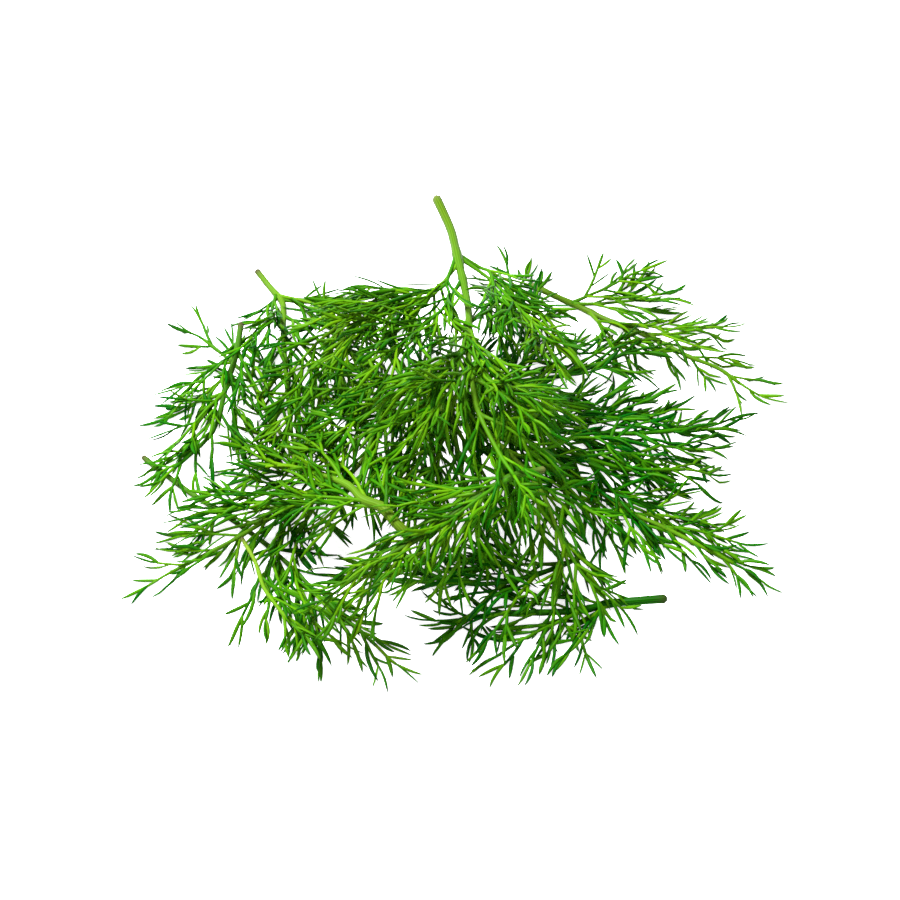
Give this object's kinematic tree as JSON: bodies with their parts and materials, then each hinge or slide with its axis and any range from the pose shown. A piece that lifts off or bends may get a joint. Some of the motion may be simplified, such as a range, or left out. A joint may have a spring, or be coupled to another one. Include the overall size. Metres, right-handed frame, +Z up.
{
  "type": "dill bunch",
  "caption": "Loose heap of fresh dill: cut sprigs with feathery green leaves, lying on and across one another on a flat surface.",
  "frame": {"origin": "centre of the heap's footprint, on the surface that it lies on", "axes": "+X along the heap's longest side, +Y towards the side where the tallest stalk's cut end points, +Z up"},
  "size_m": [0.1348, 0.1267, 0.0302],
  "materials": {
    "leaf_deep": "satin leaf, deep green, as in the shade of the heap",
    "leaf_middle": "satin leaf, fresh green",
    "leaf_bright": "satin leaf, bright yellow-green towards the stalk"
  },
  "bodies": {
    "root": {"sprig_far_left": "leaf_middle", "sprig_left_low": "leaf_middle", "sprig_right_low": "leaf_middle", "sprig_front_right": "leaf_deep", "sprig_back_right": "leaf_bright", "sprig_left_high": "leaf_middle", "sprig_back_middle": "leaf_deep", "sprig_right_middle": "leaf_deep", "sprig_front_left": "leaf_middle", "sprig_front_inner": "leaf_deep", "sprig_back_inner": "leaf_deep", "sprig_right_inner": "leaf_deep", "sprig_back_left": "leaf_middle", "sprig_left_outer": "leaf_middle", "sprig_back_centre": "leaf_middle", "sprig_left_inner": "leaf_middle", "sprig_centre_left": "leaf_middle", "sprig_centre": "leaf_middle", "sprig_pale_stalk": "leaf_bright", "sprig_centre_right": "leaf_bright", "sprig_front_top": "leaf_bright", "sprig_top": "leaf_bright"}
  },
  "joints": []
}
